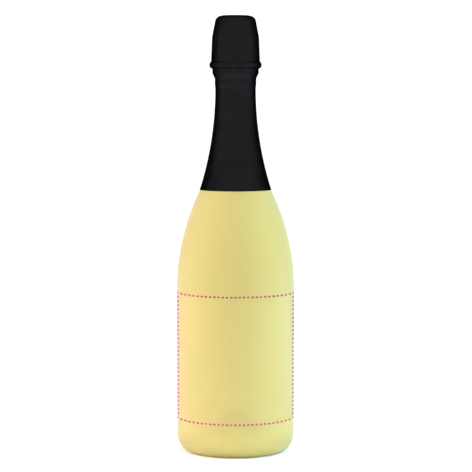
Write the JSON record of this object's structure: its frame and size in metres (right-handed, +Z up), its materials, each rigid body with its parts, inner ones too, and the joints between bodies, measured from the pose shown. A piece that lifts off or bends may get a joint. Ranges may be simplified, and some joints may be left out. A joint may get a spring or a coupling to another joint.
{
  "type": "sparkling wine bottle",
  "caption": "Sealed sparkling wine bottle: clear punted glass, pale wine, mushroom cork, wire cage, black foil capsule and a clear front label.",
  "frame": {"origin": "on the bottle's axis, on the surface that its base stands on", "axes": "+Z up along the bottle's axis; -Y points out of the front, where the label is; +Y points out of the back, where the cage's loop is"},
  "size_m": [0.0882, 0.0882, 0.326],
  "materials": {
    "glass": "clear, glossy",
    "wine": "clear pale gold liquid",
    "label_film": "clear film with a magenta dotted border",
    "foil": "satin black lacquer",
    "cap_tinplate": "black lacquered tinplate",
    "wire": "drawn steel",
    "pressed_cork": "pressed cork grains",
    "natural_cork": "natural cork"
  },
  "bodies": {
    "bottle": {"glass_bottle": "glass", "wine": "wine", "front_label": "label_film", "foil_skirt": "foil"},
    "cork": {"cork_body": "pressed_cork", "cork_disc_upper": "natural_cork", "cork_disc_lower": "natural_cork"},
    "cage": {"metal_cap": "cap_tinplate", "cage_frame": "wire", "cage_belt": "wire"},
    "loop": {"cage_loop": "wire"},
    "hood": {"foil_hood": "foil", "foil_top_disc": "foil"},
    "strip": {"tear_strip": "foil"},
    "tab": {"tear_tab": "foil"}
  },
  "joints": [
    {"name": "cork_pull", "type": "slide", "parent": "bottle", "child": "cork", "axis": [0, 0, 1], "range_m": [0, 0.05], "deforming": ["cage_frame", "cage_belt"]},
    {"name": "cage_lift", "type": "slide", "parent": "cork", "child": "cage", "axis": [0, 0, 1], "range_m": [0, 0.05], "deforming": ["cage_frame", "cage_belt"]},
    {"name": "hood_lift", "type": "slide", "parent": "cage", "child": "hood", "axis": [0, 0, 1], "range_m": [0, 0.14]},
    {"name": "loop_fold", "type": "hinge", "parent": "cage", "child": "loop", "pos_m": [0, 0.01719, 0.28907], "axis": [-1, 0, 0], "range_deg": [0, 90]},
    {"name": "strip_turn", "type": "hinge", "parent": "bottle", "child": "strip", "pos_m": [0, 0, 0.2856], "axis": [0, 0, 1], "range_deg": [0, 360]},
    {"name": "tab_lift", "type": "hinge", "parent": "strip", "child": "tab", "pos_m": [0.00873, 0.01511, 0.28412], "axis": [0, 0, -1], "range_deg": [0, 110]}
  ],
  "couplings": [
    {"joint": "loop_fold", "follows": "hood_lift", "rad_per_m": 11.21}
  ]
}
